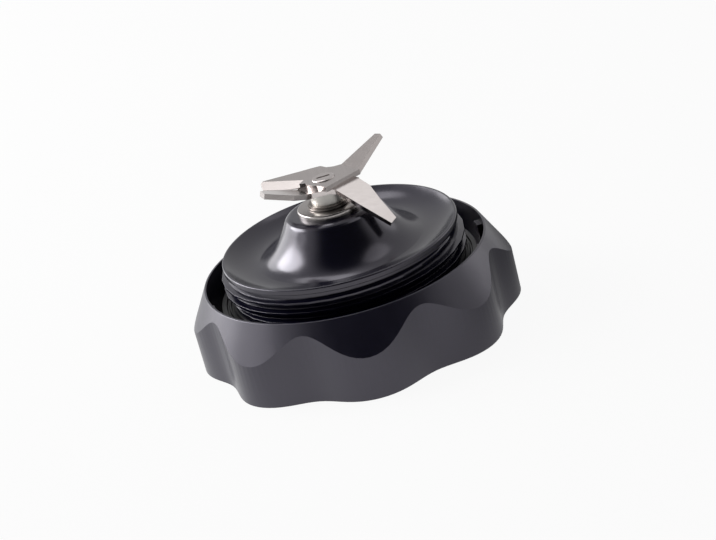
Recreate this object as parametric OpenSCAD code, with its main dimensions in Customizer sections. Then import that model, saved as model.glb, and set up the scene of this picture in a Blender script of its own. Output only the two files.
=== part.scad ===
// Blender blade assembly: a lobed grip collar round a threaded blade carrier,
// with two crossed stamped blades on a shaft that turns in a bearing housing.
// Millimetres, +Z up, origin at the centre of the collar's bottom face.

/* [Collar] */
// How far the lobes' mean radius lies outside the lip
grip_reach = 5; // [4.2:0.1:6.5]
// Height of each lobe above or below the mean radius
lobe_rise = 2.8; // [1:0.1:3]
// Number of lobes round the grip
lobe_count = 8; // [6:1:10]
// Thickness of the lip at the top of the collar
lip_t = 0.9; // [0.8:0.1:1.6]
// Radius that eases the lip's edges
lip_round = 0.35; // [0.2:0.05:0.4]
// Growth of the conical shoulder's radius per millimetre of drop
shoulder_slope = 0.55; // [0.45:0.01:0.65]
// Height of the lip above the well's floor
well_depth = 16.9; // [15.5:0.1:18]
// Gap between the carrier's foot and the wall of the well
well_gap = 3.8; // [3.4:0.1:4.2]
// Height of the well's floor
well_floor_z = 13.6; // [12.5:0.1:15]
// Thickness of the well's floor
floor_t = 3.2; // [2.5:0.1:4]
// How far the floor reaches inside the screws' heads
floor_ledge = 2.4; // [1:0.1:4]
// Width of the seat ring under the carrier's foot
seat_w = 3.6; // [3:0.1:4.5]
// Height of the seat ring
seat_h = 3.4; // [3:0.1:4]
// Thickness of the skin behind each lobe
skin_t = 2.8; // [2.2:0.1:3.2]
// Depth of the pocket behind each lobe
pocket_depth = 12; // [8:0.5:13]
// How far the socket's mouth lies inside the lip's outer edge
socket_inset = 1.3; // [1.2:0.1:3]
// Depth of the socket's mouth
mouth_h = 2; // [1.5:0.1:2.2]
// How far the socket's wall stands in from its mouth
mouth_step = 0.8; // [0.7:0.1:1.2]
// Thickness of the wall round the socket
socket_wall_t = 2.6; // [2:0.1:3]
// Number of guide ribs on the well's wall
guide_count = 4; // [3:1:6]
// Direction of the first guide rib
guide_turn = 8; // [0:1:30]
// How far each guide rib stands in from the well's wall
guide_rise = 1.6; // [1:0.1:1.7]
// Width of each guide rib
guide_w = 5; // [3:0.5:8]
// Height of each guide rib above the well's floor
guide_h = 12.9; // [8:0.1:14]
// Number of locking lugs in the socket
lug_count = 4; // [3:1:6]
// Angle that each locking lug spans
lug_span = 26; // [16:1:40]
// How far each locking lug stands in from the socket wall
lug_rise = 1.8; // [1.2:0.1:3]
// Height of each locking lug
lug_h = 3; // [2:0.1:4]
// Height of the lugs above the mouth
lug_gap = 0.6; // [0.4:0.1:3]

/* [Blade carrier] */
// Outer radius of the carrier's rim
rim_r = 45; // [44:0.1:46]
// Height of the bead round the rim
band_h = 2; // [1.6:0.1:2.4]
// Radius that rounds the rim's outer edge
rim_round = 0.6; // [0.4:0.1:0.9]
// Height of the rim above the foot flange
neck_h = 19.2; // [18.5:0.1:20]
// Thickness of the foot flange
foot_t = 3; // [2.5:0.1:4]
// How far the foot flange stands out from the threaded wall
foot_reach = 5.4; // [5:0.1:6]
// Wall thickness of the carrier
carrier_wall = 2.6; // [2:0.1:3.2]
// Depth of the dish below the rim
dish_depth = 4.3; // [3:0.1:5]
// Radius where the cone starts to rise out of the dish
cone_foot_r = 33; // [31:0.5:35]
// Radius of the cone's top, measured outside its rounded edge
cone_top_r = 18.9; // [18:0.1:20]
// Radius that rounds the cone's top edge
neck_round = 4; // [2:0.1:4.5]
// Height of the cone's top above the rim
cone_rise = 11.4; // [10.5:0.1:12]
// Radius of the bearing housing
housing_r = 13; // [12:0.1:14]
// Height of the housing's lower end above the well's floor
housing_gap = 1.4; // [1:0.1:2.5]
// Number of stiffening ribs
rib_count = 6; // [4:1:8]
// Thickness of each rib
rib_t = 2; // [1.6:0.1:2.6]

/* [Thread] */
// How far the threaded wall lies inside the rim
root_depth = 0.8; // [0.5:0.1:1.2]
// Pitch of the jug thread
thread_pitch = 3.9; // [3.6:0.1:4.4]
// Height of the ridge above the wall
thread_rise = 2.2; // [1.6:0.1:2.4]
// Width of the ridge at its root
thread_root_w = 2.6; // [2:0.1:3]
// Width of the ridge at its crest
thread_crest_w = 0.8; // [0.5:0.1:1]
// Height of the ridge's lower end above the gasket
thread_low_gap = 3; // [2:0.1:4]
// Height of the rim's bead above the ridge's upper end
thread_top_gap = 1.85; // [1.6:0.05:3]
// Direction in which the ridge starts
thread_start = 170; // [0:5:355]

/* [Gasket and screws] */
// Thickness of the jug gasket
gasket_t = 2.6; // [2:0.1:3.2]
// How far the gasket stays inside the foot flange
gasket_inset = 0.3; // [0.2:0.1:1]
// Number of carrier screws
screw_count = 6; // [4:1:8]
// How far the screws' circle lies inside the carrier's wall
screw_inset = 1.2; // [1:0.1:1.6]
// Radius of the bosses that take the screws
boss_r = 3.2; // [2.8:0.1:3.4]
// Length of each screw's shank
screw_len = 11; // [9:0.5:14]
// Radius of the screws' shanks
screw_r = 1.6; // [1.3:0.05:1.8]
// Radius of the screws' heads
screw_head_r = 3; // [2.6:0.1:3.2]
// Height of the screws' heads
screw_head_h = 2.2; // [1.6:0.1:2.6]

/* [Bearing] */
// Radius of the shaft
shaft_r = 4; // [3.5:0.1:4.2]
// Outer radius of the bushes
bush_r = 7; // [6.5:0.1:7.2]
// Length of each bush
bush_len = 10; // [8:0.5:11]
// Outer radius of the bearing sleeve
sleeve_r = 9; // [8.5:0.1:9.5]
// Radial running clearance between shaft and bushes
running_clearance = 0.05; // [0.03:0.01:0.08]
// Gap between turning and fixed faces
face_gap = 0.15; // [0.1:0.05:0.25]
// Height of the shaft seal
seal_h = 3.4; // [3:0.1:4]
// Radius of the steel cup
cup_r = 12.6; // [12:0.1:13]
// Thickness of the steel cup
cup_t = 2; // [1.6:0.1:2.4]

/* [Blades] */
// Distance that the wings reach from the axis before they are bent
blade_reach = 28; // [26:0.5:30]
// Thickness of the blade steel
blade_t = 2; // [1.6:0.1:2.2]
// Width of the ground edge of the level wing
grind_w = 4.2; // [3:0.1:5]
// Thickness left at the ground edge
edge_land = 0.3; // [0.2:0.05:0.6]
// Direction of the upper blade's raised wing
blade_turn = 31; // [0:1:90]
// Upward bend of the upper blade's raised wing
wing_one_bend = 25; // [15:1:35]
// Downward bend of the lower blade's lowered wing
wing_two_bend = 42; // [30:1:45]
// Upward bend of the lower blade's raised wing
wing_three_bend = 21; // [12:1:28]
// Radius of the round part of the upper blade's hub
hub_r = 7; // [6.5:0.1:7.5]
// Length of the blade spacer
spacer_h = 4.65; // [4:0.05:6]
// Radius of the blade spacer at its top
spacer_top_r = 6.9; // [6.5:0.1:7.2]
// Radius of the blade spacer at its foot
spacer_foot_r = 6.6; // [6.2:0.1:7]
// Thickness of each thin washer
washer_t = 0.6; // [0.5:0.05:0.8]
// Radius of the slinger washer
slinger_r = 8.4; // [7.6:0.1:9]
// Radius of the thrust washer
thrust_r = 7.6; // [7:0.1:8]
// Distance across the flats that drive the blades
drive_flat = 6.4; // [5.5:0.1:7]
// Radius of the riveted head
rivet_r = 4.4; // [4.2:0.1:5]
// Height of the riveted head
rivet_h = 0.5; // [0.4:0.1:1]
// Length of the slot across the riveted head
head_slot_l = 5; // [3:0.5:6]
// Width of the slot across the riveted head
head_slot_w = 1.2; // [0.8:0.1:1.6]
// Direction of the slot across the riveted head
head_slot_turn = 4; // [0:1:90]

/* [Drive coupling] */
// Outer radius of the coupling
coupling_r = 12; // [11:0.1:13]
// Height of the coupling
coupling_h = 10; // [9:0.1:10.8]
// Gap between the coupling and the retaining ring
coupling_gap = 0.65; // [0.4:0.05:1]
// Radius of the splined socket between its splines
spline_r = 8.6; // [8:0.1:9]
// How far each spline stands in from the socket wall
spline_rise = 1.2; // [0.8:0.1:1.5]
// Width of each spline
spline_w = 2; // [1.5:0.1:2.4]
// Number of splines
spline_count = 8; // [6:1:10]
// Depth of the splined socket
spline_depth = 6; // [5:0.1:6.5]
// Radius of the steel insert
insert_r = 6.2; // [5.5:0.1:6.6]
// Thickness of the retaining ring
circlip_t = 1; // [0.8:0.1:1.2]
// Radius of the retaining ring
circlip_r = 6.4; // [6:0.1:6.8]
// Opening of the retaining ring
circlip_slot = 3; // [2:0.1:4]
// Thickness of the lower washer
lower_washer_t = 0.8; // [0.6:0.05:1]

/* [Hidden] */
smooth = 96;
outline_steps = 20;
curve_steps = 12;
thread_steps = 32;
// Overrun of a cut past the face that it opens
cut = 1;
// Steps and least height of the ridge where it fades in at its ends
fade_steps = 5;
fade_share = 0.02;
// Share of the lobes' rise that flattens their crests
flat_crest_share = 1 / 15;
// Shape of the cone's sweep, in shares of its foot radius and of its height
sweep_foot_share = 0.82;
sweep_rise_share = 0.6;
roof_share = 1.6;
// Directions at which the rounded edges of the cone and of the lip start
neck_from = 30;
lip_from = 25;
// Rounded outer side of each bend: its steps, how far it stays inside the faces and
// ends of the crease, and the angle by which it laps into both plates
bend_steps = 5;
bend_ease = blade_t * 0.015;
bend_inset = blade_t * 0.05;
bend_lap = 6;
// Radii that follow from the rim outwards and inwards
root_r = rim_r - root_depth;
foot_r = root_r + foot_reach;
gasket_r = foot_r - gasket_inset;
seat_in_r = foot_r - seat_w;
well_r = foot_r + well_gap;
lip_r = well_r + lip_t;
grip_r = lip_r + grip_reach;
socket_r = lip_r - socket_inset;
socket_in_r = socket_r - mouth_step;
socket_wall_r = socket_r + socket_wall_t;
wall_in_r = root_r - carrier_wall;
screw_circle_r = wall_in_r - screw_inset;
floor_in_r = screw_circle_r - screw_head_r - floor_ledge;
// Heights that follow from the sizes above
floor_under_z = well_floor_z - floor_t;
lip_z = well_floor_z + well_depth;
foot_z = well_floor_z + seat_h;
gasket_z = foot_z + foot_t;
gasket_top_z = gasket_z + gasket_t;
rim_z = gasket_z + neck_h;
band_z = rim_z - band_h;
cone_top_z = rim_z + cone_rise;
sleeve_top_z = cone_top_z - seal_h;
housing_z = well_floor_z + housing_gap;
cup_top_z = cone_top_z + cup_t;
slinger_z = cup_top_z + face_gap;
thrust_z = slinger_z + washer_t;
spacer_z = thrust_z + washer_t;
spacer_top_z = spacer_z + spacer_h;
lower_blade_z = spacer_top_z + blade_t;
blade_z = lower_blade_z + blade_t;
lower_washer_z = housing_z - face_gap - lower_washer_t;
circlip_z = lower_washer_z - circlip_t;
coupling_top_z = circlip_z - coupling_gap;
coupling_z = coupling_top_z - coupling_h;
socket_top_z = coupling_z + spline_depth;
shaft_bore_r = shaft_r + running_clearance;
cup_bore_r = shaft_r + 2 * face_gap;
// Height that the jug thread climbs
thread_climb = band_z - thread_top_gap - gasket_top_z - thread_low_gap;
// Outlines of the wings in shares of the reach: along the wing, then to its left
wing_one_shares = [[0.40, -0.26], [1.02, -0.13], [1.00, -0.03], [0.40, 0.13]];
wing_two_shares = [[0.35, -0.08], [0.49, -0.02], [0.70, 0.07], [1.12, 0.26], [1.08, 0.37],
  [0.75, 0.36], [0.50, 0.37], [0.35, 0.31]];
wing_three_shares = [[0.32, 0.13], [0.42, 0.17], [0.64, 0.19], [0.96, -0.02], [0.89, -0.23],
  [0.46, -0.20], [0.32, -0.18]];
// Flat part of the upper blade with its level wing, in the same shares
upper_flat_shares = [[-0.19, -0.32], [0.40, -0.28], [0.40, 0.14], [0.31, 0.19], [0.25, 0.27],
  [0.24, 0.40], [0.15, 0.46], [0.00, 0.54], [-0.44, 0.80], [-0.50, 0.78], [-0.56, 0.66],
  [-0.37, 0.29], [-0.23, 0.10]];
// Ends of the level wing's ground edge, in the same shares
ground_edge_shares = [[-0.56, 0.66], [-0.37, 0.29]];
// Flat part of the lower blade, in the same shares
lower_flat_shares = [[-0.09, -0.35], [0.32, -0.35], [0.30, -0.10], [0.27, 0.15], [0.05, 0.27],
  [-0.20, 0.25], [-0.32, 0.19], [-0.32, -0.14], [-0.12, -0.25]];

// Radius of the grip at an angle, with slightly flattened crests
function lobe_at(r, a) =
  let (turn = lobe_count * (a + 90))
    r + lobe_rise * cos(turn) - lobe_rise * flat_crest_share * cos(2 * turn);

function lobed(r, steps) =
  [for (i = [0:steps - 1])
    let (a = 360 * i / steps)
      lobe_at(r, a) * [cos(a), sin(a)]];

// Point of a curve with four control points
function bezier(p, t) =
  pow(1 - t, 3) * p[0] + 3 * pow(1 - t, 2) * t * p[1]
    + 3 * (1 - t) * pow(t, 2) * p[2] + pow(t, 3) * p[3];

function curve(p) = [for (i = [0:curve_steps]) bezier(p, i / curve_steps)];

function arc(centre, r, from, to, n) =
  [for (i = [0:n])
    let (a = from + (to - from) * i / n)
      centre + r * [cos(a), sin(a)]];

module lobed_prism(r, h) {
  linear_extrude(height = h)
    polygon(lobed(r, outline_steps * lobe_count));
}

module ring(r_out, r_in, h) {
  difference() {
    cylinder(r = r_out, h = h, $fn = smooth);
    translate([0, 0, -cut])
      cylinder(r = r_in, h = h + 2 * cut, $fn = smooth);
  }
}

// One rib of the given width on the inside of a wall, over a height
module inner_key(r_out, r_in, w, h) {
  intersection() {
    ring(r_out, r_in, h);
    translate([0, -w / 2, -cut])
      cube([r_out + cut, w, h + 2 * cut]);
  }
}

// Sector of a ring from a start angle, narrower than a half turn
module ring_sector(r_out, r_in, h, span) {
  intersection() {
    ring(r_out, r_in, h);
    translate([0, 0, -cut])
      linear_extrude(height = h + 2 * cut)
        polygon([[0, 0], 2 * r_out * [cos(span / 2), -sin(span / 2)], 2 * r_out * [1, 0],
          2 * r_out * [cos(span / 2), sin(span / 2)]]);
  }
}

module collar() {
  color([0.20, 0.20, 0.23]) {
    difference() {
      intersection() {
        rotate_extrude($fn = smooth)
          polygon(concat([[0, 0], [lip_r + shoulder_slope * lip_z, 0]],
            arc([lip_r - lip_round, lip_z - lip_round], lip_round, lip_from, 90, 4), [[0, lip_z]]));
        lobed_prism(grip_r, lip_z + cut);
      }
      translate([0, 0, well_floor_z])
        cylinder(r = well_r, h = lip_z, $fn = smooth);
      translate([0, 0, -cut])
        cylinder(r = floor_in_r, h = lip_z, $fn = smooth);
      translate([0, 0, -cut])
        cylinder(r = socket_r, h = mouth_h + cut, $fn = smooth);
      translate([0, 0, -cut])
        cylinder(r = socket_in_r, h = floor_under_z + cut, $fn = smooth);
      difference() {
        translate([0, 0, -cut])
          lobed_prism(grip_r - skin_t, pocket_depth + cut);
        translate([0, 0, -2 * cut])
          cylinder(r = socket_wall_r, h = lip_z, $fn = smooth);
      }
      for (i = [0:screw_count - 1])
        rotate([0, 0, (i + 0.5) * 360 / screw_count])
          translate([screw_circle_r, 0, floor_under_z - cut])
            cylinder(r = screw_r + face_gap, h = floor_t + 2 * cut, $fn = smooth);
    }
    translate([0, 0, well_floor_z])
      ring(foot_r, seat_in_r, seat_h);
    for (i = [0:lug_count - 1])
      rotate([0, 0, (i + 0.5) * 360 / lug_count])
        translate([0, 0, mouth_h + lug_gap])
          ring_sector(socket_in_r + cut, socket_in_r - lug_rise, lug_h, lug_span);
    for (i = [0:guide_count - 1])
      rotate([0, 0, guide_turn + i * 360 / guide_count])
        translate([0, 0, well_floor_z])
          inner_key(well_r + guide_rise / 2, well_r - guide_rise, guide_w, guide_h);
  }
}

// Outer shape of the carrier, from the foot up over the rim, the dish and the cone
module carrier_outline() {
  dish_z = rim_z - dish_depth;
  rim_in_r = rim_r - rim_round - lip_round;
  neck = [cone_top_r, cone_top_z] - neck_round * [1, 1];
  neck_start = neck + neck_round * [cos(neck_from), sin(neck_from)];
  sweep = cone_rise * sweep_rise_share * [sin(neck_from), -cos(neck_from)];
  rotate_extrude($fn = smooth)
    polygon(concat([[0, foot_z], [foot_r, foot_z], [foot_r, gasket_z], [root_r, gasket_z],
      [root_r, band_z - root_depth / 2], [rim_r, band_z]],
      arc([rim_r - rim_round, rim_z - rim_round], rim_round, 0, 90, 4),
      curve([[rim_in_r, rim_z], [rim_r - carrier_wall, rim_z - dish_depth / 3],
        [(rim_r + cone_foot_r) / 2, dish_z], [cone_foot_r, dish_z]]),
      curve([[cone_foot_r, dish_z], [cone_foot_r * sweep_foot_share, dish_z],
        neck_start + sweep, neck_start]),
      arc(neck, neck_round, neck_from, 90, 5), [[0, cone_top_z]]));
}

// Space under the dish and the cone, open below
module carrier_hollow() {
  under_z = rim_z - dish_depth - carrier_wall;
  roof = [cone_top_r - carrier_wall, cone_top_z - carrier_wall * roof_share];
  sweep = cone_rise * sweep_rise_share * [sin(neck_from), -cos(neck_from)];
  rotate_extrude($fn = smooth)
    polygon(concat([[housing_r, foot_z - cut], [wall_in_r, foot_z - cut],
      [wall_in_r, under_z + carrier_wall / 2]],
      curve([[cone_foot_r, under_z], [cone_foot_r * sweep_foot_share, under_z], roof + sweep, roof]),
      [[housing_r, roof[1]]]));
}

module jug_thread() {
  turn_steps = floor(thread_steps * thread_climb / thread_pitch);
  low_z = gasket_top_z + thread_low_gap;
  inner = root_r - carrier_wall / 4;
  rings = [for (i = [0:turn_steps])
    let (
      a = thread_start + 360 * i / thread_steps,
      z = low_z + thread_pitch * i / thread_steps,
      fade = max(fade_share, min(1, i / fade_steps, (turn_steps - i) / fade_steps)),
      top = inner + (root_r + thread_rise - inner) * fade,
      root = [inner * cos(a), inner * sin(a)],
      crest = [top * cos(a), top * sin(a)]
    )
      [[root[0], root[1], z - thread_root_w / 2], [crest[0], crest[1], z - thread_crest_w / 2],
        [crest[0], crest[1], z + thread_crest_w / 2], [root[0], root[1], z + thread_root_w / 2]]];
  points = [for (r = rings) each r];
  sides = [for (i = [0:turn_steps - 1], j = [0:3])
    let (k = (j + 1) % 4, near = 4 * i, far = near + 4)
      each [[near + j, far + k, far + j], [near + j, near + k, far + k]]];
  last = 4 * turn_steps;
  ends = [[0, 2, 1], [0, 3, 2], [last, last + 1, last + 2], [last, last + 2, last + 3]];
  polyhedron(points = points, faces = concat(sides, ends));
}

module carrier_bosses(r, z, h) {
  for (i = [0:screw_count - 1])
    rotate([0, 0, (i + 0.5) * 360 / screw_count])
      translate([screw_circle_r, 0, z])
        cylinder(r = r, h = h, $fn = smooth / 2);
}

module blade_carrier() {
  plate_under_z = rim_z - dish_depth - carrier_wall;
  color([0.07, 0.07, 0.12])
    difference() {
      union() {
        difference() {
          union() {
            carrier_outline();
            jug_thread();
          }
          carrier_hollow();
        }
        intersection() {
          carrier_outline();
          for (i = [0:rib_count - 1])
            rotate([0, 0, i * 360 / rib_count])
              translate([housing_r - cut, -rib_t / 2, foot_z])
                cube([root_r - housing_r - carrier_wall / 2, rib_t,
                  cone_top_z - carrier_wall - foot_z]);
        }
        translate([0, 0, housing_z])
          cylinder(r = housing_r, h = cone_top_z - carrier_wall - housing_z, $fn = smooth);
        carrier_bosses(boss_r, well_floor_z, plate_under_z + carrier_wall / 2 - well_floor_z);
      }
      translate([0, 0, housing_z - cut])
        cylinder(r = sleeve_r, h = sleeve_top_z - housing_z + cut, $fn = smooth);
      translate([0, 0, housing_z])
        cylinder(r = bush_r, h = cone_top_z, $fn = smooth);
      carrier_bosses(screw_r, well_floor_z - cut, screw_len - floor_t + 2 * cut);
    }
}

module jug_gasket() {
  step = (gasket_r - root_r) / 9;
  top = gasket_top_z;
  groove = top - gasket_t * 0.3;
  color([0.10, 0.10, 0.11])
    rotate_extrude($fn = smooth)
      polygon([[root_r, gasket_z], [gasket_r, gasket_z], [gasket_r, top], [gasket_r - 3 * step, top],
        [gasket_r - 3.5 * step, groove], [gasket_r - 4.5 * step, groove], [gasket_r - 5 * step, top],
        [gasket_r - 6 * step, top], [gasket_r - 6.5 * step, groove], [gasket_r - 7.5 * step, groove],
        [gasket_r - 8 * step, top], [root_r, top]]);
}

module carrier_screws() {
  color([0.62, 0.62, 0.62]) {
    carrier_bosses(screw_r, floor_under_z, screw_len);
    difference() {
      carrier_bosses(screw_head_r, floor_under_z - screw_head_h, screw_head_h);
      for (i = [0:screw_count - 1])
        rotate([0, 0, (i + 0.5) * 360 / screw_count])
          translate([screw_circle_r, 0, floor_under_z - screw_head_h])
            for (a = [0, 90])
              rotate([0, 0, a])
                cube([screw_head_r * 1.2, screw_head_r * 0.25, screw_head_h], center = true);
    }
  }
}

module bearing_sleeve() {
  color([0.55, 0.55, 0.56])
    translate([0, 0, housing_z])
      ring(sleeve_r, bush_r, sleeve_top_z - housing_z);
}

module bush(z) {
  color([0.66, 0.52, 0.33])
    translate([0, 0, z])
      ring(bush_r, shaft_bore_r, bush_len);
}

module upper_bush() {
  bush(sleeve_top_z - bush_len);
}

module lower_bush() {
  bush(housing_z);
}

module shaft_seal() {
  color([0.09, 0.09, 0.09])
    translate([0, 0, sleeve_top_z])
      ring(bush_r, shaft_bore_r, seal_h);
}

module seal_cup() {
  edge = cup_t * 0.35;
  color([0.80, 0.78, 0.76])
    rotate_extrude($fn = smooth)
      polygon(concat([[cup_bore_r, cone_top_z], [cup_r, cone_top_z]],
        arc([cup_r - edge, cup_top_z - edge], edge, 0, 90, 4), [[cup_bore_r, cup_top_z]]));
}

module drive_shaft() {
  color([0.70, 0.69, 0.68]) {
    translate([0, 0, socket_top_z])
      cylinder(r = shaft_r, h = spacer_top_z - socket_top_z, $fn = smooth);
    translate([0, 0, spacer_top_z])
      driven_end(blade_z - spacer_top_z);
    translate([0, 0, blade_z])
      riveted_head();
  }
}

// Head spread over the upper blade, with a slot across it
module riveted_head() {
  difference() {
    rotate_extrude($fn = smooth)
      polygon([[0, 0], [rivet_r, 0], [rivet_r * 0.95, rivet_h * 0.6], [rivet_r * 0.85, rivet_h],
        [0, rivet_h]]);
    rotate([0, 0, head_slot_turn])
      translate([-head_slot_l / 2, -head_slot_w / 2, rivet_h * 0.2])
        cube([head_slot_l, head_slot_w, rivet_h]);
  }
}

// End of the shaft with two flats, and the matching hole in each blade
module driven_end(h) {
  intersection() {
    cylinder(r = shaft_r, h = h, $fn = smooth);
    translate([-drive_flat / 2, -2 * shaft_r, -cut])
      cube([drive_flat, 4 * shaft_r, h + 2 * cut]);
  }
}

module slinger_washer() {
  color([0.72, 0.70, 0.69])
    translate([0, 0, slinger_z])
      ring(slinger_r, shaft_r, washer_t);
}

module thrust_washer() {
  color([0.45, 0.41, 0.39])
    translate([0, 0, thrust_z])
      ring(thrust_r, shaft_r, washer_t);
}

module blade_spacer() {
  color([0.84, 0.83, 0.80])
    translate([0, 0, spacer_z])
      difference() {
        cylinder(r1 = spacer_foot_r, r2 = spacer_top_r, h = spacer_h, $fn = smooth);
        translate([0, 0, -cut])
          cylinder(r = shaft_r, h = spacer_h + 2 * cut, $fn = smooth);
      }
}

// One bent wing, turned to its direction, from its crease outwards
module wing(shares, turn, bend, z) {
  crease = shares[0][0] * blade_reach;
  sides = [shares[0][1], shares[len(shares) - 1][1]] * blade_reach;
  half = blade_t / 2;
  outer = bend > 0 ? bend_ease - half : half - bend_ease;
  lap = bend > 0 ? bend_lap : -bend_lap;
  rotate([0, 0, turn])
    translate([crease, 0, z - half]) {
      rotate([0, -bend, 0])
        translate([0, 0, -half])
          linear_extrude(height = blade_t)
            polygon([for (q = shares) q * blade_reach - [crease, 0]]);
      translate([0, max(sides) - bend_inset, 0])
        rotate([90, 0, 0])
          linear_extrude(height = max(sides) - min(sides) - 2 * bend_inset)
            polygon(concat([outer / 3 * [sin(bend / 2), -cos(bend / 2)]],
              [for (i = [0:bend_steps])
                let (a = (bend + 2 * lap) * i / bend_steps - lap)
                  outer * [-sin(a), cos(a)]]));
    }
}

// Wedge ground off an edge, from the top face at z down to the land
module ground_wedge(edge, z) {
  start = edge[0] * blade_reach;
  run = edge[1] * blade_reach - start;
  drop = blade_t - edge_land;
  slope = drop / grind_w;
  translate([start[0], start[1], z])
    rotate([0, 0, atan2(run[1], run[0])])
      rotate([90, 0, 90])
        translate([0, 0, -grind_w])
          linear_extrude(height = norm(run) + 2 * grind_w)
            polygon([[-2 * cut, cut], [-2 * cut, -drop - 2 * cut * slope],
              [grind_w + cut / slope, cut]]);
}

module flat_part(shares, z) {
  translate([0, 0, z - blade_t])
    rotate([0, 0, blade_turn])
      linear_extrude(height = blade_t)
        polygon(shares * blade_reach);
}

module lower_blade() {
  color([0.74, 0.72, 0.70])
    difference() {
      union() {
        flat_part(lower_flat_shares, lower_blade_z);
        wing(wing_two_shares, blade_turn - 90, -wing_two_bend, lower_blade_z);
        wing(wing_three_shares, blade_turn + 180, wing_three_bend, lower_blade_z);
      }
      translate([0, 0, spacer_top_z - cut])
        driven_end(blade_t + 2 * cut);
    }
}

module upper_blade() {
  color([0.74, 0.72, 0.70])
    difference() {
      union() {
        flat_part(upper_flat_shares, blade_z);
        translate([0, 0, lower_blade_z])
          cylinder(r = hub_r, h = blade_t, $fn = smooth);
        wing(wing_one_shares, blade_turn, wing_one_bend, blade_z);
      }
      translate([0, 0, lower_blade_z - cut])
        driven_end(blade_t + 2 * cut);
      rotate([0, 0, blade_turn])
        ground_wedge(ground_edge_shares, blade_z);
    }
}

module circlip() {
  color([0.35, 0.35, 0.36])
    translate([0, 0, circlip_z])
      difference() {
        ring(circlip_r, shaft_r, circlip_t);
        translate([0, -circlip_slot / 2, -cut])
          cube([2 * circlip_r, circlip_slot, circlip_t + 2 * cut]);
      }
}

module lower_washer() {
  color([0.70, 0.69, 0.68])
    translate([0, 0, lower_washer_z])
      ring(bush_r, shaft_r, lower_washer_t);
}

// Splined socket, as the solid that is cut from the coupling
module spline_socket() {
  difference() {
    translate([0, 0, coupling_z - cut])
      cylinder(r = spline_r, h = spline_depth + cut, $fn = smooth);
    for (i = [0:spline_count - 1])
      rotate([0, 0, (i + 0.5) * 360 / spline_count])
        translate([spline_r - spline_rise, -spline_w / 2, coupling_z - 2 * cut])
          cube([2 * spline_rise, spline_w, spline_depth + 3 * cut]);
  }
}

module drive_coupling() {
  color([0.12, 0.12, 0.13])
    difference() {
      translate([0, 0, coupling_z])
        cylinder(r = coupling_r, h = coupling_h, $fn = smooth);
      spline_socket();
      translate([0, 0, coupling_z])
        cylinder(r = insert_r, h = coupling_top_z, $fn = smooth);
    }
}

module coupling_insert() {
  color([0.68, 0.66, 0.62])
    translate([0, 0, socket_top_z])
      ring(insert_r, shaft_r, coupling_top_z - socket_top_z);
}

collar();
blade_carrier();
jug_gasket();
carrier_screws();
bearing_sleeve();
upper_bush();
lower_bush();
shaft_seal();
seal_cup();
drive_shaft();
slinger_washer();
thrust_washer();
blade_spacer();
lower_blade();
upper_blade();
circlip();
lower_washer();
drive_coupling();
coupling_insert();
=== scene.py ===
"""Looks of a blender blade assembly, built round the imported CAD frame."""
import math

import bpy
from mathutils import Matrix, Quaternion, Vector

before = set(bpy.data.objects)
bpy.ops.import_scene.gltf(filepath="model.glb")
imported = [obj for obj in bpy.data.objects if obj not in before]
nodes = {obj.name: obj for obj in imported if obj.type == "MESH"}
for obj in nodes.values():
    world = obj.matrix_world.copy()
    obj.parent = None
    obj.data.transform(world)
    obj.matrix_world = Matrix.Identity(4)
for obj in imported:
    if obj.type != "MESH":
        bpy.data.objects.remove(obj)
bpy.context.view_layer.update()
scene = bpy.context.scene

# Camera: one unit is a fiftieth of the carrier's rim radius, and the origin is the rim's top
UNIT = 0.0009
RIM_TOP = 43.6 * UNIT
FOCAL = 2000.0
PHOTO_WIDTH = 716.0
SENSOR_WIDTH = 36.0
DISTANCE = 829.0
TILT = math.radians(23.11)
ROLL = math.radians(14.82)
SHIFT_RIGHT = -8.14
SHIFT_UP = 14.71


def make_camera():
    ahead = Vector((0, math.cos(TILT), -math.sin(TILT)))
    level_right = Vector((1, 0, 0))
    level_up = Vector((0, math.sin(TILT), math.cos(TILT)))
    right = level_right * math.cos(ROLL) - level_up * math.sin(ROLL)
    up = level_right * math.sin(ROLL) + level_up * math.cos(ROLL)
    place = (-SHIFT_RIGHT * right - SHIFT_UP * up - DISTANCE * ahead) * UNIT
    place.z += RIM_TOP
    data = bpy.data.cameras.new("camera")
    data.sensor_width = SENSOR_WIDTH
    data.lens = SENSOR_WIDTH * FOCAL / PHOTO_WIDTH
    data.clip_start = 0.01
    data.clip_end = 50.0
    camera = bpy.data.objects.new("camera", data)
    camera.matrix_world = Matrix((
        (right.x, up.x, -ahead.x, place.x),
        (right.y, up.y, -ahead.y, place.y),
        (right.z, up.z, -ahead.z, place.z),
        (0, 0, 0, 1),
    ))
    scene.collection.objects.link(camera)
    scene.camera = camera


make_camera()


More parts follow.
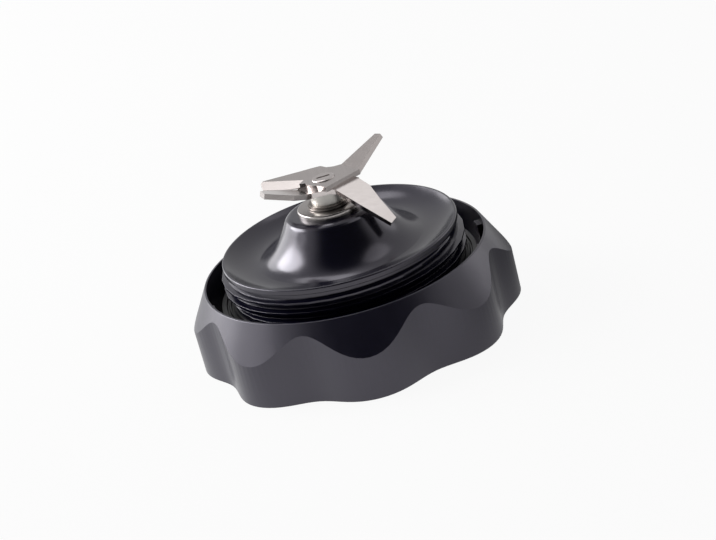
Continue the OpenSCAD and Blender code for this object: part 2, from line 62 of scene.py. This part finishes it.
# Node trees
class Nodes:
    """A node tree written as code."""

    def __init__(self, tree):
        self.tree = tree
        self.tree.nodes.clear()

    def add(self, kind, **values):
        node = self.tree.nodes.new(kind)
        for key, value in values.items():
            setattr(node, key, value)
        return node

    def feed(self, socket, value):
        if isinstance(value, bpy.types.NodeSocket):
            self.tree.links.new(value, socket)
        elif isinstance(value, (tuple, list)) and len(value) == 3 and socket.type == "RGBA":
            socket.default_value = (*value, 1.0)
        else:
            socket.default_value = value

    def math(self, kind, a, b=0.0):
        node = self.add("ShaderNodeMath", operation=kind)
        self.feed(node.inputs[0], a)
        self.feed(node.inputs[1], b)
        return node.outputs[0]

    def span(self, value, low, high, start=0.3, end=0.7, smooth=False):
        """A value between start and end, turned into one between low and high."""
        node = self.add("ShaderNodeMapRange")
        if smooth:
            node.interpolation_type = "SMOOTHSTEP"
        self.feed(node.inputs["Value"], value)
        self.feed(node.inputs["From Min"], start)
        self.feed(node.inputs["From Max"], end)
        self.feed(node.inputs["To Min"], low)
        self.feed(node.inputs["To Max"], high)
        return node.outputs[0]

    def blend(self, factor, a, b):
        node = self.add("ShaderNodeMix", data_type="RGBA")
        self.feed(node.inputs["Factor"], factor)
        self.feed(node.inputs["A"], a)
        self.feed(node.inputs["B"], b)
        return node.outputs["Result"]

    def toward(self, vector, direction):
        """How far a vector reaches along a direction."""
        node = self.add("ShaderNodeVectorMath", operation="DOT_PRODUCT")
        self.feed(node.inputs[0], vector)
        node.inputs[1].default_value = Vector(direction).normalized()
        return node.outputs["Value"]

    def length(self, vector):
        node = self.add("ShaderNodeVectorMath", operation="LENGTH")
        self.feed(node.inputs[0], vector)
        return node.outputs["Value"]

    def ray_kinds(self):
        """Whether a ray comes from the camera, and whether it is a mirrored or refracted one."""
        path = self.add("ShaderNodeLightPath").outputs
        gloss = self.math("MAXIMUM", path["Is Glossy Ray"], path["Is Transmission Ray"])
        return path["Is Camera Ray"], gloss


class Surface(Nodes):
    """A material with one Principled shader."""

    def __init__(self, name):
        self.material = bpy.data.materials.new(name)
        self.material.use_nodes = True
        super().__init__(self.material.node_tree)
        self.out = self.add("ShaderNodeOutputMaterial")
        self.shader = self.add("ShaderNodeBsdfPrincipled")
        self.feed(self.out.inputs["Surface"], self.shader.outputs[0])
        self.place = self.add("ShaderNodeTexCoord").outputs["Object"]

    def noise(self, scale, detail, roughness, stretch=(1, 1, 1), source=None):
        mapping = self.add("ShaderNodeMapping")
        self.feed(mapping.inputs["Vector"], source or self.place)
        mapping.inputs["Scale"].default_value = stretch
        node = self.add("ShaderNodeTexNoise")
        self.feed(node.inputs["Vector"], mapping.outputs[0])
        self.feed(node.inputs["Scale"], scale)
        self.feed(node.inputs["Detail"], detail)
        self.feed(node.inputs["Roughness"], roughness)
        return node.outputs["Fac"]

    def turned_place(self):
        """Distance from the axis and height, for marks that run round a turned part."""
        parts = self.add("ShaderNodeSeparateXYZ")
        self.feed(parts.inputs[0], self.place)
        x, y, z = parts.outputs
        square = self.math("ADD", self.math("POWER", x, 2.0), self.math("POWER", y, 2.0))
        join = self.add("ShaderNodeCombineXYZ")
        self.feed(join.inputs["X"], self.math("SQRT", square))
        self.feed(join.inputs["Z"], z)
        return join.outputs[0]

    def relief(self, height, strength, distance, edge):
        """A fine bump over the surface, with its edges softened over a small radius."""
        bevel = self.add("ShaderNodeBevel", samples=4)
        self.feed(bevel.inputs["Radius"], edge)
        bump = self.add("ShaderNodeBump")
        self.feed(bump.inputs["Normal"], bevel.outputs[0])
        self.feed(bump.inputs["Height"], height)
        self.feed(bump.inputs["Strength"], strength)
        self.feed(bump.inputs["Distance"], distance)
        return bump.outputs[0]

    def set(self, **values):
        for key, value in values.items():
            self.feed(self.shader.inputs[key.replace("_", " ")], value)
        return self.material


def linear(*rgb):
    """An eight-bit display colour as scene-linear values."""
    return tuple(c / 255 / 12.92 if c <= 10 else ((c / 255 + 0.055) / 1.055) ** 2.4 for c in rgb)


# Materials: colours are eight-bit display values, and lengths are in metres
WHITE = (1.0, 1.0, 1.0, 1.0)
VIOLET = (0.93, 0.89, 1.0, 1.0)
ALONG_X = (1, 10, 10)
ALONG_Y = (10, 1, 10)
ROUND_THE_AXIS = (14, 1, 14)


def plastic(name, light, dark, rough, level=0.5, tint=WHITE, grain=0.00002, edge=0.0001):
    """Moulded plastic or rubber: a faint cloud in the colour, a smear in the gloss, fine grain."""
    s = Surface(name)
    cloud = s.noise(scale=38, detail=4, roughness=0.55)
    smear = s.noise(scale=90, detail=3, roughness=0.6, stretch=(1, 1, 0.35))
    fine = s.noise(scale=1800, detail=2, roughness=0.6)
    return s.set(
        Base_Color=s.blend(s.span(cloud, 0, 1), linear(*dark), linear(*light)),
        Roughness=s.span(smear, rough - 0.03, rough + 0.04),
        Normal=s.relief(fine, 0.4, grain, edge),
        Specular_IOR_Level=level,
        Specular_Tint=tint,
    )


def steel(name, light, dark, rough, marks_run=ALONG_X):
    """Satin metal: fine polishing marks in gloss and surface, a faint cloud in the colour."""
    s = Surface(name)
    source = s.turned_place() if marks_run == ROUND_THE_AXIS else s.place
    marks = s.noise(scale=90, detail=2, roughness=0.5, stretch=marks_run, source=source)
    cloud = s.noise(scale=60, detail=2, roughness=0.5)
    shade = s.math("MULTIPLY", s.span(cloud, 0, 1), s.span(marks, 0, 1))
    return s.set(
        Base_Color=s.blend(shade, linear(*dark), linear(*light)),
        Metallic=1.0,
        Roughness=s.span(marks, rough - 0.015, rough + 0.015),
        Normal=s.relief(marks, 0.3, 0.000004, 0.0001),
    )


def turned(name, light, dark, rough):
    return steel(name, light, dark, rough, ROUND_THE_AXIS)


LOOKS = {
    "collar": plastic(
        "collar_plastic", (13, 12, 33), (10, 9, 30), 0.31,
        level=1.0, tint=VIOLET, grain=0.00003, edge=0.0002),
    "blade_carrier": plastic(
        "carrier_plastic", (7, 7, 28), (5, 5, 25), 0.19,
        level=0.9, tint=VIOLET, grain=0.000005, edge=0.00025),
    "drive_coupling": plastic(
        "coupling_plastic", (36, 36, 40), (28, 28, 32), 0.42, grain=0.00004),
    "jug_gasket": plastic("gasket_rubber", (24, 24, 28), (18, 18, 21), 0.4),
    "shaft_seal": plastic("seal_rubber", (30, 30, 32), (22, 22, 24), 0.6),
    "upper_blade": steel("blade_steel_upper", (190, 183, 181), (178, 171, 169), 0.23, ALONG_Y),
    "lower_blade": steel("blade_steel_lower", (211, 204, 202), (200, 193, 191), 0.23),
    "circlip": steel("clip_steel", (96, 96, 100), (84, 84, 88), 0.35),
    "carrier_screws": steel("screw_steel", (172, 172, 176), (158, 158, 163), 0.3),
    "drive_shaft": turned("shaft_steel", (196, 189, 187), (190, 183, 181), 0.22),
    "blade_spacer": turned("spacer_steel", (238, 235, 229), (230, 227, 221), 0.36),
    "seal_cup": turned("cup_steel", (178, 173, 171), (168, 163, 161), 0.24),
    "slinger_washer": turned("washer_steel", (166, 160, 157), (154, 148, 144), 0.28),
    "thrust_washer": turned("washer_dark", (150, 144, 140), (138, 131, 127), 0.3),
    "lower_washer": turned("washer_lower", (190, 188, 186), (178, 176, 174), 0.28),
    "bearing_sleeve": turned("sleeve_steel", (180, 180, 180), (168, 168, 169), 0.3),
    "coupling_insert": turned("insert_steel", (186, 180, 170), (170, 164, 154), 0.3),
    "upper_bush": turned("bush_bronze_upper", (184, 150, 105), (168, 136, 93), 0.4),
    "lower_bush": turned("bush_bronze_lower", (184, 150, 105), (168, 136, 93), 0.4),
}
for name, node in nodes.items():
    node.data.materials.clear()
    node.data.materials.append(LOOKS[name])


# Smooth shading over the round faces, with the edges over an angle kept sharp
WELD_DISTANCE = 0.000001


def make_smoothing(limit):
    group = bpy.data.node_groups.new(f"smooth_under_{limit}", "GeometryNodeTree")
    for direction in ("INPUT", "OUTPUT"):
        group.interface.new_socket(
            "Geometry", in_out=direction, socket_type="NodeSocketGeometry")
    g = Nodes(group)
    weld = g.add("GeometryNodeMergeByDistance")
    weld.inputs["Distance"].default_value = WELD_DISTANCE
    g.feed(weld.inputs["Geometry"], g.add("NodeGroupInput").outputs[0])
    faces = g.add("GeometryNodeSetShadeSmooth", domain="FACE")
    g.feed(faces.inputs["Geometry"], weld.outputs[0])
    angle = g.add("GeometryNodeInputMeshEdgeAngle").outputs["Unsigned Angle"]
    edges = g.add("GeometryNodeSetShadeSmooth", domain="EDGE")
    g.feed(edges.inputs["Geometry"], faces.outputs[0])
    g.feed(edges.inputs["Selection"], g.math("GREATER_THAN", angle, math.radians(limit)))
    g.feed(edges.inputs["Shade Smooth"], False)
    g.feed(g.add("NodeGroupOutput").inputs[0], edges.outputs[0])
    return group


CRISP_PARTS = ("upper_blade", "lower_blade", "blade_spacer", "blade_carrier")
crisp = make_smoothing(10)
soft = make_smoothing(24)
for name, node in nodes.items():
    node.modifiers.new("smooth", "NODES").node_group = crisp if name in CRISP_PARTS else soft
    node.modifiers.new("weighted", "WEIGHTED_NORMAL").keep_sharp = True


# Floor: white to the camera, and it keeps a little of the object's shadow. The glossy parts see
# it white as well, with a painted shadow that dims it near the object on its shaded side
FLOOR_SPOKES = 64
FLOOR_RADII = (0.4, 1.2, 3.0)
FLOOR_WHITE_SHARE = 0.93
SHADED_SIDE = (0.8, 0.6, 0)
SHADE_DEPTH = 0.87
FAR_SHADE_SHARE = 0.1


def make_floor():
    verts = [(0, 0, 0)]
    for radius in FLOOR_RADII:
        for i in range(FLOOR_SPOKES):
            turn = 2 * math.pi * i / FLOOR_SPOKES
            verts.append((radius * math.cos(turn), radius * math.sin(turn), 0))
    faces = [(0, 1 + i, 1 + (i + 1) % FLOOR_SPOKES) for i in range(FLOOR_SPOKES)]
    for ring in range(len(FLOOR_RADII) - 1):
        inner = 1 + ring * FLOOR_SPOKES
        outer = inner + FLOOR_SPOKES
        for i in range(FLOOR_SPOKES):
            j = (i + 1) % FLOOR_SPOKES
            faces.append((inner + i, outer + i, outer + j, inner + j))
    mesh = bpy.data.meshes.new("floor")
    mesh.from_pydata(verts, [], faces)
    floor = bpy.data.objects.new("floor", mesh)
    scene.collection.objects.link(floor)
    s = Surface("floor_white")
    s.set(Base_Color=(0.8, 0.8, 0.8), Roughness=0.9, Specular_IOR_Level=0.0)
    camera_ray, gloss = s.ray_kinds()
    # Painted shadow: the white that the glossy parts see is dimmed on the floor near the object,
    # toward SHADED_SIDE
    across = s.span(
        s.toward(s.place, SHADED_SIDE), 0.0, SHADE_DEPTH, start=-0.07, end=0.12, smooth=True)
    near = s.span(s.length(s.place), 1.0, FAR_SHADE_SHARE, start=0.12, end=0.26, smooth=True)
    shaded = s.math("SUBTRACT", 1.0, s.math("MULTIPLY", across, near))
    white = s.add("ShaderNodeEmission")
    s.feed(white.inputs["Strength"], s.math("MAXIMUM", shaded, camera_ray))
    seen = s.math("MAXIMUM", camera_ray, gloss)
    mix = s.add("ShaderNodeMixShader")
    s.feed(mix.inputs[0], s.math("MULTIPLY", seen, FLOOR_WHITE_SHARE))
    s.feed(mix.inputs[1], s.shader.outputs[0])
    s.feed(mix.inputs[2], white.outputs[0])
    s.feed(s.out.inputs["Surface"], mix.outputs[0])
    mesh.materials.append(s.material)


# World: a white backdrop all round, and a dark room high up in front, where the camera stands
DARK_SIDE = (0.08, -0.66, 0.74)
DARK_LEVEL = 0.05
LIGHT_LEVEL = 0.3
GLOSS_LEVEL = 0.8


def make_world():
    world = bpy.data.worlds.new("studio")
    world.use_nodes = True
    scene.world = world
    w = Nodes(world.node_tree)
    ray = w.add("ShaderNodeTexCoord").outputs["Generated"]
    camera_ray, gloss = w.ray_kinds()
    dark = w.span(w.toward(ray, DARK_SIDE), 1.0, DARK_LEVEL, start=0.54, end=0.84, smooth=True)
    level = w.math("MULTIPLY", dark, w.span(gloss, LIGHT_LEVEL, GLOSS_LEVEL, start=0, end=1))
    room = w.add("ShaderNodeBackground")
    w.feed(room.inputs["Strength"], w.math("MAXIMUM", level, camera_ray))
    w.feed(w.add("ShaderNodeOutputWorld").inputs["Surface"], room.outputs[0])


# Lamps: each faces a point above the floor from one distance
LAMP_DISTANCE = 1.2
LAMP_AIM = Vector((0, 0, 0.04))


def softbox(name, azimuth, elevation, width, height, radiance, roll=0):
    """An oval lamp. Azimuth runs from the back to the right, and roll lifts its left end."""
    turn = math.radians(azimuth)
    rise = math.radians(elevation)
    flat = math.cos(rise)
    away = Vector((math.sin(turn) * flat, math.cos(turn) * flat, math.sin(rise)))
    data = bpy.data.lights.new(name, "AREA")
    data.shape = "ELLIPSE"
    data.size = width
    data.size_y = height
    data.energy = radiance * math.pi * math.pi * width * height / 4
    lamp = bpy.data.objects.new(name, data)
    lamp.location = away * LAMP_DISTANCE + LAMP_AIM
    facing = away.to_track_quat("Z", "Y") @ Quaternion((0, 0, 1), math.radians(roll))
    lamp.rotation_euler = facing.to_euler()
    scene.collection.objects.link(lamp)


make_floor()
make_world()
softbox("key", azimuth=-54, elevation=12, width=1.2, height=0.86, radiance=2.4)
softbox("key_core", azimuth=-67, elevation=31, width=0.95, height=0.48, radiance=8.0, roll=27)
softbox("left", azimuth=-98, elevation=17, width=0.55, height=0.5, radiance=1.2)
softbox("top_left", azimuth=-24, elevation=62, width=0.6, height=0.5, radiance=1.9)
softbox("top_right", azimuth=96, elevation=60, width=0.65, height=0.65, radiance=0.8)
softbox("side", azimuth=70, elevation=13, width=0.7, height=0.5, radiance=0.9)

scene.view_settings.view_transform = "Standard"
